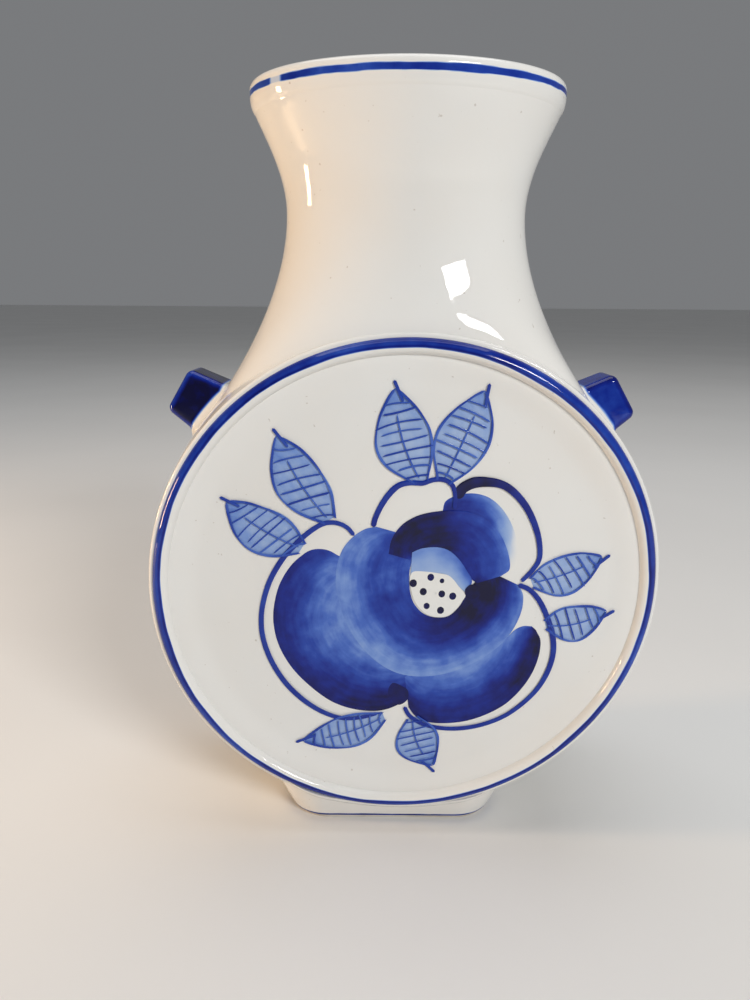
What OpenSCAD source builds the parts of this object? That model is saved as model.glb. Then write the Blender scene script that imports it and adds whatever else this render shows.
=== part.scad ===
// Moon-flask vase in glazed porcelain: a flat round drum on a low foot, with a flared oval neck,
// two solid lugs on the shoulders and a raised bead round each face.
// The slabs, rings and skirts are luted together face to face, so each one is its own solid.
// Millimetres, +Z up, painted face towards -Y, origin at the centre of the resting face.

/* [Walls] */
// Thickness of the porcelain walls
wall = 4.5; // [3.5:0.05:5.5]

/* [Drum] */
// Width of the drum at its widest, halfway between the two faces
belly_d = 172; // [140:0.2:210]
// How far the side wall bulges out past the edges of the faces
bulge = 2.8; // [1:0.1:6]
// Thickness of the drum, over the flat ledges of the two faces
drum_t = 68; // [60:0.2:84]
// Height of the drum's lowest point above the surface that the vase stands on
drum_lift = 6.5; // [4:0.5:12]
// How far the dished face lies below its ledge
dish_dip = 1; // [0.5:0.1:2]
// How far the middle of the face rises again from the bottom of the dish
dish_dome = 2.2; // [0:0.1:3]
// Width of side wall left along each face where the neck's opening is cut through it
rail_w = 4; // [2:0.5:8]

/* [Bead round each face] */
// Width of the bead
bead_w = 5; // [3:0.1:7]
// Distance from the edge of the face to the bead
bead_inset = 1.4; // [0.2:0.1:3]

/* [Neck and mouth] */
// Width of the neck at its narrowest
waist_w = 78.4; // [64:0.2:90]
// Depth of the neck there, from front to back
waist_depth = 57.2; // [46:0.2:62]
// Height of the narrowest part above the top of the drum
waist_rise = 33.5; // [28:0.5:42]
// Width of the mouth over the lip, from side to side
mouth_w = 100; // [82:0.2:120]
// Height of the flare, from the narrowest part to the top of the lip
flare_h = 38; // [31:0.2:50]
// Angle above the horizontal at which the shoulders meet the drum
shoulder_angle = 42; // [38:1:48]
// How far the neck's broad sides stand back from the ledges of the faces below it
neck_step = 0.6; // [0.3:0.1:1]
// Height of the lip that closes the top of the neck
lip_h = 6.5; // [4:0.1:8]
// How far the lip stands out past the neck below it
lip_proud = 0.7; // [0.2:0.1:1.5]

/* [Lugs] */
// Angle above the horizontal at which the lugs stand
lug_angle = 40; // [34:1:44]
// Length of a lug where it meets the shoulder
lug_root = 22; // [16:0.5:28]
// Length of a lug at its outer end
lug_tip = 14.5; // [10:0.5:20]
// Depth of a lug, from front to back
lug_depth = 19; // [14:0.5:26]
// How far a lug stands out past the belly of the drum
lug_proud = 11.8; // [6:0.1:15]
// How far a lug leans down from pointing straight away from the drum
lug_lean = 9; // [0:1:12]

/* [Foot] */
// Width of the foot at its lower edge
foot_w = 75; // [60:0.2:92]
// How far the foot's lower edge stands back from the ledges of the faces
foot_setback = 6.2; // [5.6:0.1:9]
// Radius of the corners of the foot
foot_corner = 14; // [9:0.5:18]
// How far the foot spreads from its lower edge up to the drum
foot_flare = 13; // [8:0.5:14]
// How far the foot stands to the right of the drum's centre, as it was set on by hand
foot_shift = -2.8; // [-3:0.1:3]
// Height of the bare ring that the vase stands on
ring_h = 1.2; // [0.6:0.1:2.5]
// Width of the bare ring
ring_w = 3; // [2:0.1:3.2]
// Distance from the outside of the foot to the ring
ring_inset = 1; // [0.4:0.1:1.2]

/* [Hidden] */
$fn = 96;
drum_fn = 160;                          // the drum's large curves need finer facets

porcelain = "#e6e3da";
cobalt = "#1c2f86";
bare_clay = "#d8d0c2";

clear = 1;                              // how far a cutting solid runs past what it cuts
curve_steps = 10;                       // straight steps that stand for each curve

belly_r = belly_d / 2;
drum_z = drum_lift + belly_r;           // height of the middle of the drum
face_r = belly_r - bulge;
face_y = drum_t / 2;                    // ledge of each face, measured from the middle of the drum
band_y = face_y - wall;                 // edge of the side wall, where each face sits on it
belly_arc = (face_y * face_y + bulge * bulge) / (2 * bulge);

bead_mid = face_r - bead_inset - bead_w / 2;
dish_r = bead_mid - bead_w / 2;         // the dish starts at the inside of the bead
dish_slope = 8;                         // width of the slope from the ledge down into the dish

oval = waist_depth / waist_w;           // the neck's depth for each millimetre of its width
waist_z = drum_z + belly_r + waist_rise;
total_h = waist_z + flare_h;
lip_z = total_h - lip_h;                // joint between neck and lip
neck_top = mouth_w / 2 - lip_proud;
lip_round = (wall + lip_proud) / 2;
waist_r = waist_w / 2;
shoulder_end = [belly_r * cos(shoulder_angle), drum_z + belly_r * sin(shoulder_angle)];
shoulder_way = shoulder_angle - 9.4;    // the shoulder's slope there, away from upright
shoulder_pull = 26.7;                   // how long the shoulder keeps that slope
shoulder_run = 14;                      // how far the neck's outline runs on inside the drum
waist_pull = 22;                        // how long the neck stays upright below its waist
flare_start = 14;                       // how long it stays upright above the waist
flare_end = 3.5;                        // how long the top of the flare is upright
foot_trim = 0.2;                        // how far that trim stays inside the rim of the faces
root_sink = 8;                          // how deep a lug starts below the belly
foot_depth = drum_t - 2 * foot_setback;
foot_reach = foot_w / 2 + foot_flare + abs(foot_shift);
foot_rise = drum_z - sqrt(face_r * face_r - foot_reach * foot_reach) + clear;

function mix(a, b, t) = a + (b - a) * t;
function bezier(p, t) = let (m = 1 - t)
    p[0] * m * m * m + p[1] * 3 * m * m * t + p[2] * 3 * m * t * t + p[3] * t * t * t;
function heading(a) = [-sin(a), cos(a)];
function unit(v) = v / norm(v);
function shifted(path, d) = [for (i = [0 : len(path) - 1])
    let (way = unit(path[min(i + 1, len(path) - 1)] - path[max(i - 1, 0)]))
    path[i] + d * [-way[1], way[0]]];

// Outline of the drum's rim between the two faces.
function rim_r(y) = belly_r - belly_arc + sqrt(belly_arc * belly_arc - y * y);
band_path = [for (i = [0 : curve_steps]) let (y = mix(-band_y, band_y, i / curve_steps))
    [rim_r(y), y]];

// Outline of the neck, from the shoulder inside the drum up to the joint with the lip.
shoulder_curve = [shoulder_end,
                  shoulder_end + shoulder_pull * heading(shoulder_way),
                  [waist_r, waist_z - waist_pull],
                  [waist_r, waist_z]];
flare_curve = [[waist_r, waist_z],
               [waist_r, waist_z + flare_start],
               [neck_top, lip_z - flare_end],
               [neck_top, lip_z]];
neck_path = concat(
    [shoulder_end - shoulder_run * heading(shoulder_way)],
    [for (i = [0 : curve_steps]) bezier(shoulder_curve, i / curve_steps)],
    [for (i = [1 : curve_steps]) bezier(flare_curve, i / curve_steps)]);
bore_path = shifted(neck_path, wall);

// Turned about the upright axis, then drawn in from front to back to make the section oval.
module oval_turned() {
    scale([1, oval, 1]) rotate_extrude() children();
}

// A solid between the axis and an outline, closed level at both ends.
module filled(path, top) {
    first = path[0];
    last = path[len(path) - 1];
    oval_turned() polygon(concat([[0, first[1]]], path, [[last[0], top], [0, top]]));
}

// Everything between two planes, at the same distance in front of and behind the axis.
module slab(half) {
    translate([-belly_r, -half, 0]) cube([2 * belly_r, 2 * half, total_h + 2 * clear]);
}

// Turned about the axis of the drum, which runs from front to back.
module drum_turned() {
    translate([0, 0, drum_z]) rotate([90, 0, 0]) rotate_extrude($fn = drum_fn) children();
}

module whole_drum() {
    drum_turned() polygon(concat([[0, -face_y], [face_r, -face_y]], band_path,
                                 [[face_r, face_y], [0, face_y]]));
}

module whole_neck() {
    intersection() {
        filled(neck_path, lip_z);
        slab(face_y - neck_step);
    }
}

// The space inside the neck, no deeper from front to back than twice the given distance.
module neck_bore(half) {
    intersection() {
        filled(bore_path, lip_z + clear);
        slab(half);
    }
}

module side_wall() {
    color(porcelain) difference() {
        drum_turned() polygon(concat(band_path, [for (i = [curve_steps : -1 : 0])
            band_path[i] - [wall, 0]]));
        neck_bore(band_y - rail_w);
    }
}

// Section of a face: back at the side wall, front dished inside the bead and gently domed.
module face_section() {
    floor_y = face_y - dish_dip;
    floor_r = dish_r - dish_slope;
    dome = [for (i = [0 : curve_steps]) let (s = i / curve_steps)
        [floor_r * s, floor_y + dish_dome * pow(1 - s * s, 2)]];
    slope = [for (i = [1 : curve_steps]) let (s = i / curve_steps)
        [mix(floor_r, dish_r, s), floor_y + dish_dip * (1 - cos(180 * s)) / 2]];
    polygon(concat([[0, band_y]], dome, slope, [[face_r, face_y], [rim_r(band_y), band_y]]));
}

module face_plate() {
    color(porcelain) drum_turned() face_section();
}

module front_face() {
    face_plate();
}

module back_face() {
    mirror([0, 1, 0]) face_plate();
}

// The bead is half round and lies on the ledge of its face.
module bead() {
    color(cobalt) drum_turned() translate([bead_mid, face_y]) intersection() {
        circle(d = bead_w);
        translate([-bead_w, 0]) square([2 * bead_w, bead_w]);
    }
}

module front_bead() {
    bead();
}

module back_bead() {
    mirror([0, 1, 0]) bead();
}

module neck() {
    color(porcelain) difference() {
        whole_neck();
        neck_bore(band_y + neck_step);
        whole_drum();
    }
}

module lip() {
    straight = lip_h - lip_round;
    color(porcelain) translate([0, 0, lip_z]) oval_turned() {
        translate([neck_top - wall, 0]) square([2 * lip_round, straight]);
        translate([neck_top - wall + lip_round, straight]) intersection() {
            circle(r = lip_round);
            translate([-lip_round, 0]) square(2 * lip_round);
        }
    }
}

// A lug tapers in length and half as much in depth, and its root is cut to the shoulder and the drum.
module lug() {
    length = lug_proud + root_sink;
    taper = (lug_root - lug_tip) / 2;
    color(cobalt) difference() {
        translate([0, 0, drum_z]) rotate([0, -lug_angle, 0]) translate([belly_r, 0, 0])
            rotate([0, lug_lean, 0]) translate([-root_sink, 0, 0]) intersection() {
                rotate([90, 0, 0]) linear_extrude(lug_depth, center = true)
                    polygon([[0, -lug_root / 2], [length, -lug_tip / 2],
                             [length, lug_tip / 2], [0, lug_root / 2]]);
                linear_extrude(lug_root + clear, center = true)
                    polygon([[0, -lug_depth / 2], [length, (taper - lug_depth) / 2],
                             [length, (lug_depth - taper) / 2], [0, lug_depth / 2]]);
            }
        whole_drum();
        whole_neck();
    }
}

module lug_left() {
    mirror([1, 0, 0]) lug();
}

module lug_right() {
    lug();
}

// Carries a section round a rectangle with rounded corners; the section's x is the distance
// outward from the centre of a corner.
module foot_frame() {
    across = foot_w / 2 - foot_corner;
    along = foot_depth / 2 - foot_corner;
    translate([foot_shift, 0, 0]) for (quarter = [0 : 3]) {
        side = quarter % 2 == 0 ? along : across;
        reach = quarter % 2 == 0 ? across : along;
        rotate([0, 0, 90 * quarter]) {
            translate([reach, side, 0]) rotate_extrude(angle = 90) children();
            translate([reach, side, 0]) rotate([90, 0, 0]) linear_extrude(2 * side) children();
        }
    }
}

module foot() {
    skirt = [[foot_corner, ring_h],
             [foot_corner + foot_flare / 3, mix(ring_h, foot_rise, 1 / 3)],
             [foot_corner + foot_flare * 2 / 3, mix(ring_h, foot_rise, 2 / 3)],
             [foot_corner + foot_flare, foot_rise]];
    outer = [for (i = [0 : curve_steps]) bezier(skirt, i / curve_steps)];
    inner = [for (i = [curve_steps : -1 : 0]) outer[i] - [wall, 0]];
    color(porcelain) difference() {
        foot_frame() polygon(concat(outer, inner));
        whole_drum();
        // nothing of the skirt stands in front of the faces or behind them
        translate([0, 0, drum_z]) rotate([90, 0, 0])
            cylinder(h = 2 * (face_y + foot_flare), r = face_r - foot_trim, center = true);
    }
}

module stand_ring() {
    color(bare_clay) foot_frame()
        translate([foot_corner - ring_inset - ring_w, 0]) square([ring_w, ring_h]);
}

side_wall();
front_face();
back_face();
front_bead();
back_bead();
neck();
lip();
lug_left();
lug_right();
foot();
stand_ring();
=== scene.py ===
"""Moon-flask vase in glazed porcelain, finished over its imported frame.

The walls, beads, neck, lip, lugs and foot are smooth closed shells, each a formula of two
parameters. The rose and its leaves lie on the front face as strokes of cobalt: thin patches
and ribbons that follow the dish of the face, each with its own density of colour.
All sizes are millimetres until a mesh is cast, and angles are degrees unless a name says so.
"""

import logging
import math
from dataclasses import dataclass, field
from enum import Enum
from typing import Any, Sequence

import bmesh
import bpy
import numpy as np
from mathutils import Matrix, Vector

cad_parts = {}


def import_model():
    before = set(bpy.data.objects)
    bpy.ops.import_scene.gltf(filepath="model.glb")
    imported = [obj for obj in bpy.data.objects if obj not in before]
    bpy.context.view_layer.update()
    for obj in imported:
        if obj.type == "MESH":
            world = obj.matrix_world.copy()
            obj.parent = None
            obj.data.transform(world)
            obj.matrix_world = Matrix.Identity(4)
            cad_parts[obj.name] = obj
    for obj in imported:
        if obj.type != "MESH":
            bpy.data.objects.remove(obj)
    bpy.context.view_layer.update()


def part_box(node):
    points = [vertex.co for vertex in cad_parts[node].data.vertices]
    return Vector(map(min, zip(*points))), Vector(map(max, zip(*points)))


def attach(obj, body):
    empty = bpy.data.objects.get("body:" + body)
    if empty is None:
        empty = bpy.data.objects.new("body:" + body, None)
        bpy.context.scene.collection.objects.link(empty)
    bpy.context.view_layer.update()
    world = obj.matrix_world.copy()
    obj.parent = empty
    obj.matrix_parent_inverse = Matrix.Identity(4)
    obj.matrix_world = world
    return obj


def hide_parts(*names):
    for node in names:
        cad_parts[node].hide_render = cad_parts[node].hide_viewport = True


LOG = logging.getLogger("vase")
MM = 0.001
TURN = 2.0 * math.pi
PAINT = "cobalt"
BRUSH = "brush"
WELD = 0.002
SPAN_STEPS = 24
EDGE_SOFT = 0.25

Array = np.ndarray
Point = tuple[float, float]
Colour = tuple[float, float, float]


class Slot(Enum):
    """Material slots of the record."""

    PORCELAIN = "porcelain"
    PAINTED_FACE = "painted_face"
    COBALT_BEAD = "cobalt_bead"
    COBALT_LUG = "cobalt_lug"
    BARE_CLAY = "bare_clay"


class Side(Enum):
    """Which side of the vase a paired piece is on, as the sign of its axis."""

    FRONT = -1.0
    BACK = 1.0
    LEFT = -1.5
    RIGHT = 1.5

    @property
    def sign(self) -> float:
        """Minus one towards the front or left, plus one towards the back or right."""
        return math.copysign(1.0, self.value)


# ---------------------------------------------------------------- curves and grids


def mix(start: Any, end: Any, share: Any) -> Any:
    """Straight blend from start to end."""
    return start + (end - start) * share


def ease(share: Array) -> Array:
    """Smooth step from 0 to 1, level at both ends."""
    held = np.clip(share, 0.0, 1.0)
    return held * held * (3.0 - 2.0 * held)


def bezier(corners: Sequence[Any], share: Array) -> Array:
    """Cubic Bezier curve.

    The corners are weighted by the four products of (1 - t) and t of the third degree.

    Args:
        corners: The four corners, each an array that broadcasts against share.
        share: Places along the curve, from 0 to 1.

    Returns:
        The points of the curve.
    """
    rest = 1.0 - share
    first, second, third, last = corners
    return (first * rest**3 + 3.0 * second * rest**2 * share
            + 3.0 * third * rest * share**2 + last * share**3)


def sway(angle: Array, seed: int, reach: float) -> Array:
    """Slow unevenness of handwork round a ring: sines of 2, 3, 5 and 8 waves, fixed phases.

    Args:
        angle: Angles round the ring, in radians.
        seed: Picks the phases of the waves.
        reach: Largest value.

    Returns:
        One value for each angle, between plus and minus reach.
    """
    waves = np.array([2.0, 3.0, 5.0, 8.0])
    weight = 1.0 / waves / np.sum(1.0 / waves)
    phase = np.random.default_rng(seed).uniform(0.0, TURN, len(waves))
    return reach * (np.sin(np.multiply.outer(angle, waves) + phase) * weight).sum(-1)


def flowing(points: Sequence[Point], steps: int, closed: bool = False) -> Array:
    """Catmull-Rom curve through given points, at equal steps along its length.

    Args:
        points: The points that the curve passes through.
        steps: Number of points wanted.
        closed: Whether the curve returns to its first point.

    Returns:
        The points of the curve, one row each.
    """
    knots = np.asarray(points, float)
    if closed:
        padded = np.concatenate([knots[-1:], knots, knots[:2]])
    else:
        padded = np.concatenate([2 * knots[:1] - knots[1:2], knots,
                                 2 * knots[-1:] - knots[-2:-1]])
    spans = len(padded) - 3
    along = np.linspace(0.0, spans, SPAN_STEPS * spans + 1)
    at = np.minimum(along.astype(int), spans - 1)
    t = (along - at)[:, None]
    a, b, c, d = (padded[at + k] for k in range(4))
    curve = 0.5 * (2 * b + (c - a) * t + (2 * a - 5 * b + 4 * c - d) * t**2
                   + (3 * b - a - 3 * c + d) * t**3)
    run = np.concatenate([[0.0], np.cumsum(np.linalg.norm(np.diff(curve, axis=0), axis=1))])
    want = np.linspace(0.0, run[-1], steps)
    return np.stack([np.interp(want, run, column) for column in curve.T], -1)


def sideways(path: Array) -> Array:
    """Unit vectors to the left of a flat path."""
    way = np.gradient(path, axis=0)
    way /= np.linalg.norm(way, axis=1, keepdims=True)
    return np.stack([-way[:, 1], way[:, 0]], -1)


def outward(grid: Array, inside: Array) -> Array:
    """Unit normals of a grid that wraps round, pointing away from the inside.

    The normal is the cross product of the two central differences.

    Args:
        grid: Rows by columns by three.
        inside: A point, or one for each grid point, on the inner side.

    Returns:
        Normals in the shape of the grid.
    """
    along = np.gradient(grid, axis=0)
    around = np.roll(grid, -1, axis=1) - np.roll(grid, 1, axis=1)
    normal = np.cross(along, around)
    normal /= np.linalg.norm(normal, axis=-1, keepdims=True)
    turned = np.sign(np.sum(normal * (grid - inside), axis=-1, keepdims=True))
    return normal * turned


@dataclass
class Casting:
    """Patches of surface that are joined into one mesh object."""

    name: str
    grids: list[Array] = field(default_factory=list)
    paints: list[Array] = field(default_factory=list)
    brushes: list[Array] = field(default_factory=list)
    faces: list[Array] = field(default_factory=list)
    count: int = 0

    def add(self, grid: Array, paint: Any = 0.0, brush: Array | None = None,
            loop: bool = False, wrap: bool = False) -> "Casting":
        """Adds a grid of points as quads.

        Args:
            grid: Rows by columns by three, in millimetres.
            paint: Density of cobalt, one number or one for each point.
            brush: Place along and across the stroke, two numbers for each point.
            loop: Whether the last row joins the first.
            wrap: Whether the last column joins the first.

        Returns:
            The casting itself.
        """
        rows, columns = grid.shape[:2]
        index = self.count + np.arange(rows * columns).reshape(rows, columns)
        if loop:
            index = np.concatenate([index, index[:1]])
        if wrap:
            index = np.concatenate([index, index[:, :1]], axis=1)
        quads = np.stack([index[:-1, :-1], index[:-1, 1:], index[1:, 1:], index[1:, :-1]], -1)
        self.faces.append(quads.reshape(-1, 4))
        self.grids.append(grid.reshape(-1, 3))
        self.paints.append(np.broadcast_to(paint, (rows, columns)).ravel())
        flat = grid[..., [0, 2]] if brush is None else brush
        self.brushes.append(flat.reshape(-1, 2))
        self.count += rows * columns
        return self

    def cast(self, sheet: bool = False, crease: float = 38.0) -> bpy.types.Object:
        """Makes the object, at the origin, with its place in its mesh.

        Args:
            sheet: Whether the patches are strokes on the front face, which all face
                forwards, and not a closed shell.
            crease: Angle from which an edge is drawn sharp.

        Returns:
            The new object.
        """
        points = np.concatenate(self.grids)
        quads = np.concatenate(self.faces)
        if sheet:
            a, b, c, d = (points[quads[:, k]] for k in range(4))
            away = np.cross(c - a, d - b)[:, 1] > 0.0
            quads[away] = quads[away][:, ::-1]
        mesh = bpy.data.meshes.new(self.name)
        mesh.vertices.add(len(points))
        mesh.vertices.foreach_set("co", (points * MM).astype(np.float32).ravel())
        mesh.loops.add(quads.size)
        mesh.loops.foreach_set("vertex_index", quads.astype(np.int32).ravel())
        mesh.polygons.add(len(quads))
        mesh.polygons.foreach_set("loop_start", np.arange(0, quads.size, 4, dtype=np.int32))
        paint = mesh.attributes.new(PAINT, "FLOAT", "POINT")
        paint.data.foreach_set("value", np.concatenate(self.paints).astype(np.float32))
        brush = np.concatenate(self.brushes)[quads.ravel()]
        mesh.uv_layers.new(name=BRUSH).uv.foreach_set("vector", brush.astype(np.float32).ravel())
        mesh.update(calc_edges=True)
        body = bmesh.new()
        body.from_mesh(mesh)
        if not sheet:
            bmesh.ops.remove_doubles(body, verts=body.verts, dist=WELD * MM)
            bmesh.ops.recalc_face_normals(body, faces=body.faces)
        body.to_mesh(mesh)
        body.free()
        mesh.shade_smooth()
        mesh.set_sharp_from_angle(angle=math.radians(crease))
        piece = bpy.data.objects.new(self.name, mesh)
        bpy.context.scene.collection.objects.link(piece)
        return piece


@dataclass(frozen=True)
class Box:
    """Lowest and highest corner of a CAD node, in millimetres."""

    low: Array
    high: Array

    @classmethod
    def of(cls, node: str) -> "Box":
        """Reads the box of a node from the frame."""
        low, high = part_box(node)
        return cls(np.array(low) / MM, np.array(high) / MM)

    @property
    def middle(self) -> Array:
        """Centre of the box."""
        return (self.low + self.high) / 2.0

    @property
    def half(self) -> Array:
        """Half the size of the box."""
        return (self.high - self.low) / 2.0


@dataclass(frozen=True)
class RoundedFrame:
    """Rectangle with rounded corners, to carry a section round."""

    across: float
    along: float
    corner: float
    corner_steps: int = 14
    side_steps: int = 22

    def path(self) -> tuple[Array, Array]:
        """Places on the inner rectangle of corner centres, and unit vectors outward.

        A point of the carried section is the place plus its distance times the vector.

        Returns:
            The places and the vectors, one row for each column of the carried surface.
        """
        swing = np.linspace(0.0, TURN / 4, self.corner_steps + 1)
        still = np.zeros(self.side_steps - 1)
        angle = np.concatenate([np.append(swing, TURN / 4 + still) + k * TURN / 4
                                for k in range(4)])
        x, y = self.across - self.corner, self.along - self.corner
        corners = np.array([[x, y], [-x, y], [-x, -y], [x, -y]])
        share = np.linspace(0.0, 1.0, self.side_steps + 1)[1:-1]
        places = [np.concatenate([np.repeat(corners[k:k + 1], self.corner_steps + 1, 0),
                                  mix(corners[k], corners[(k + 1) % 4], share[:, None])])
                  for k in range(4)]
        return np.concatenate(places), np.stack([np.cos(angle), np.sin(angle)], -1)


# ---------------------------------------------------------------- finishes


class Board:
    """Node tree of one finish, with the kinds of node that the finishes share."""

    def __init__(self, name: str) -> None:
        """Starts an empty tree with a shader wired to its output."""
        self.material = bpy.data.materials.new(name)
        self.material.use_nodes = True
        self.tree = self.material.node_tree
        self.tree.nodes.clear()
        self.shader = self.tree.nodes.new("ShaderNodeBsdfPrincipled")
        end = self.tree.nodes.new("ShaderNodeOutputMaterial")
        self.tree.links.new(self.shader.outputs["BSDF"], end.inputs["Surface"])
        self.place = self.tree.nodes.new("ShaderNodeTexCoord").outputs["Object"]

    def wire(self, value: Any, socket: bpy.types.NodeSocket) -> None:
        """Links a socket, or sets the value, of an input."""
        if isinstance(value, bpy.types.NodeSocket):
            self.tree.links.new(value, socket)
        elif isinstance(value, tuple) and len(value) == 3 and socket.type == "RGBA":
            socket.default_value = (*value, 1.0)
        else:
            socket.default_value = value

    def noise(self, where: Any, scale: float, detail: float = 2.0) -> bpy.types.NodeSocket:
        """Cloudy pattern between 0 and 1, with scale clouds for each metre."""
        node = self.tree.nodes.new("ShaderNodeTexNoise")
        self.wire(where, node.inputs["Vector"])
        self.wire(scale, node.inputs["Scale"])
        self.wire(detail, node.inputs["Detail"])
        return node.outputs["Fac"]

    def sum(self, kind: str, first: Any, second: Any, held: bool = False
            ) -> bpy.types.NodeSocket:
        """Arithmetic of two values.

        Args:
            kind: Blender's name of the operation.
            first: First value or socket.
            second: Second value or socket.
            held: Whether the result is kept between 0 and 1.

        Returns:
            The result's socket.
        """
        node = self.tree.nodes.new("ShaderNodeMath")
        node.operation, node.use_clamp = kind, held
        self.wire(first, node.inputs[0])
        self.wire(second, node.inputs[1])
        return node.outputs[0]

    def span(self, value: Any, low: float, high: float, start: float = 0.0,
             end: float = 1.0) -> bpy.types.NodeSocket:
        """Carries a value from one range to another, held at the ends."""
        node = self.tree.nodes.new("ShaderNodeMapRange")
        for socket, number in zip(node.inputs, (value, low, high, start, end)):
            self.wire(number, socket)
        return node.outputs[0]

    def blend(self, share: Any, first: Any, second: Any) -> bpy.types.NodeSocket:
        """Mixes two colours."""
        node = self.tree.nodes.new("ShaderNodeMix")
        node.data_type = "RGBA"
        for socket, value in zip((node.inputs[0], node.inputs[6], node.inputs[7]),
                                 (share, first, second)):
            self.wire(value, socket)
        return node.outputs[2]

    def ramp(self, value: Any, stops: Sequence[tuple[float, Colour]]) -> bpy.types.NodeSocket:
        """Colours along a value."""
        node = self.tree.nodes.new("ShaderNodeValToRGB")
        self.wire(value, node.inputs[0])
        while len(node.color_ramp.elements) < len(stops):
            node.color_ramp.elements.new(0.5)
        for element, (at, colour) in zip(node.color_ramp.elements, stops):
            element.position, element.color = at, (*colour, 1.0)
        return node.outputs[0]

    def ripple(self, height: Any, rise: float, strength: float = 1.0) -> bpy.types.NodeSocket:
        """Bump of a given rise in metres."""
        node = self.tree.nodes.new("ShaderNodeBump")
        self.wire(height, node.inputs["Height"])
        self.wire(rise, node.inputs["Distance"])
        self.wire(strength, node.inputs["Strength"])
        return node.outputs[0]

    def dress(self, **inputs: Any) -> bpy.types.Material:
        """Sets the shader's inputs, with underscores for spaces, and gives the material."""
        for name, value in inputs.items():
            self.wire(value, self.shader.inputs[name.replace("_", " ")])
        return self.material


@dataclass(frozen=True)
class Glaze:
    """Clear glossy glaze over white porcelain and over the cobalt painted on it.

    The density of cobalt is an attribute of the mesh. Clouds, and streaks along the stroke,
    thin and thicken it before it is turned into colour. The noises are in clouds for each
    metre, and the two scales of a streak in clouds for each millimetre.
    """

    name: str
    mottle: float = 0.10
    streaks: float = 0.0
    cool_white: Colour = (0.800, 0.795, 0.770)
    warm_white: Colour = (0.785, 0.765, 0.725)
    speck: Colour = (0.30, 0.22, 0.15)
    clouds: float = 16.0
    specks: float = 620.0
    grain: float = 210.0
    waves: float = 48.0
    peel: float = 420.0
    peel_share: float = 0.06
    wave_rise: float = 0.00035
    gloss: float = 0.035
    coat_index: float = 1.40
    along: float = 0.050
    across: float = 0.42
    cobalt: tuple[tuple[float, Colour], ...] = (
        (0.00, (0.560, 0.640, 0.760)),
        (0.16, (0.330, 0.450, 0.700)),
        (0.30, (0.170, 0.290, 0.640)),
        (0.45, (0.060, 0.140, 0.520)),
        (0.60, (0.015, 0.055, 0.370)),
        (0.75, (0.0030, 0.017, 0.240)),
        (0.88, (0.0010, 0.0050, 0.130)),
        (1.00, (0.0020, 0.0020, 0.032)),
    )

    def make(self) -> bpy.types.Material:
        """Builds the material."""
        board = Board(self.name)
        cloud = board.noise(board.place, self.clouds, 3.0)
        white = board.blend(board.span(cloud, 0.35, 0.65), self.cool_white, self.warm_white)
        fleck = board.span(board.noise(board.place, self.specks, 1.0), 0.765, 0.80, 0.0, 0.35)
        white = board.blend(fleck, white, self.speck)
        density = board.tree.nodes.new("ShaderNodeAttribute")
        density.attribute_name = PAINT
        laid = density.outputs["Fac"]
        uneven = board.sum("SUBTRACT", board.noise(board.place, self.grain, 4.0), 0.5)
        uneven = board.sum("MULTIPLY", uneven, self.mottle * 2.0)
        if self.streaks:
            uneven = board.sum("ADD", uneven, self.brushed(board))
        uneven = board.sum("MULTIPLY", uneven, board.span(laid, 0.0, 0.35))
        deep = board.sum("ADD", laid, uneven, held=True)
        colour = board.blend(board.span(laid, 0.0, 0.10), white, board.ramp(deep, self.cobalt))
        peel = board.sum("MULTIPLY", board.noise(board.place, self.peel, 1.0), self.peel_share)
        swell = board.sum("ADD", board.noise(board.place, self.waves, 1.0), peel)
        wave = board.ripple(swell, self.wave_rise)
        return board.dress(
            Base_Color=colour, Roughness=board.span(cloud, 0.3, 0.7, 0.30, 0.38),
            Specular_IOR_Level=0.0, Coat_Weight=1.0, Coat_Roughness=self.gloss, Coat_IOR=self.coat_index,
            Normal=wave, Coat_Normal=wave)

    def brushed(self, board: Board) -> bpy.types.NodeSocket:
        """Fine streaks that run along the stroke, from its own map in millimetres."""
        where = board.tree.nodes.new("ShaderNodeUVMap")
        where.uv_map = BRUSH
        stretch = board.tree.nodes.new("ShaderNodeMapping")
        stretch.inputs["Scale"].default_value = (self.along, self.across, 1.0)
        board.wire(where.outputs[0], stretch.inputs["Vector"])
        hairs = board.noise(stretch.outputs[0], 1.0, 7.0)
        return board.sum("MULTIPLY", board.sum("SUBTRACT", hairs, 0.5), self.streaks * 2.0)


@dataclass(frozen=True)
class BareClay:
    """Unglazed fired porcelain of the ring that the vase stands on."""

    name: str = "bare_clay"
    pale: Colour = (0.640, 0.585, 0.500)
    stained: Colour = (0.430, 0.370, 0.300)

    def make(self) -> bpy.types.Material:
        """Builds the material."""
        board = Board(self.name)
        stain = board.noise(board.place, 90.0, 5.0)
        grain = board.noise(board.place, 1500.0, 3.0)
        tone = board.blend(board.span(stain, 0.40, 0.75), self.pale, self.stained)
        return board.dress(Base_Color=tone, Roughness=board.span(grain, 0.3, 0.7, 0.72, 0.90),
                           Specular_IOR_Level=0.3, Normal=board.ripple(grain, 0.00012, 0.8))


@dataclass(frozen=True)
class StudioFloor:
    """Plain pale paper under the vase."""

    name: str = "studio_floor"
    light: Colour = (0.78, 0.775, 0.76)
    shade: Colour = (0.75, 0.745, 0.73)

    def make(self) -> bpy.types.Material:
        """Builds the material."""
        board = Board(self.name)
        fibre = board.noise(board.place, 3.0, 4.0)
        tone = board.blend(board.span(fibre, 0.35, 0.65), self.light, self.shade)
        return board.dress(Base_Color=tone, Roughness=0.75, Specular_IOR_Level=0.25)


# ---------------------------------------------------------------- the vase's pieces


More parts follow.
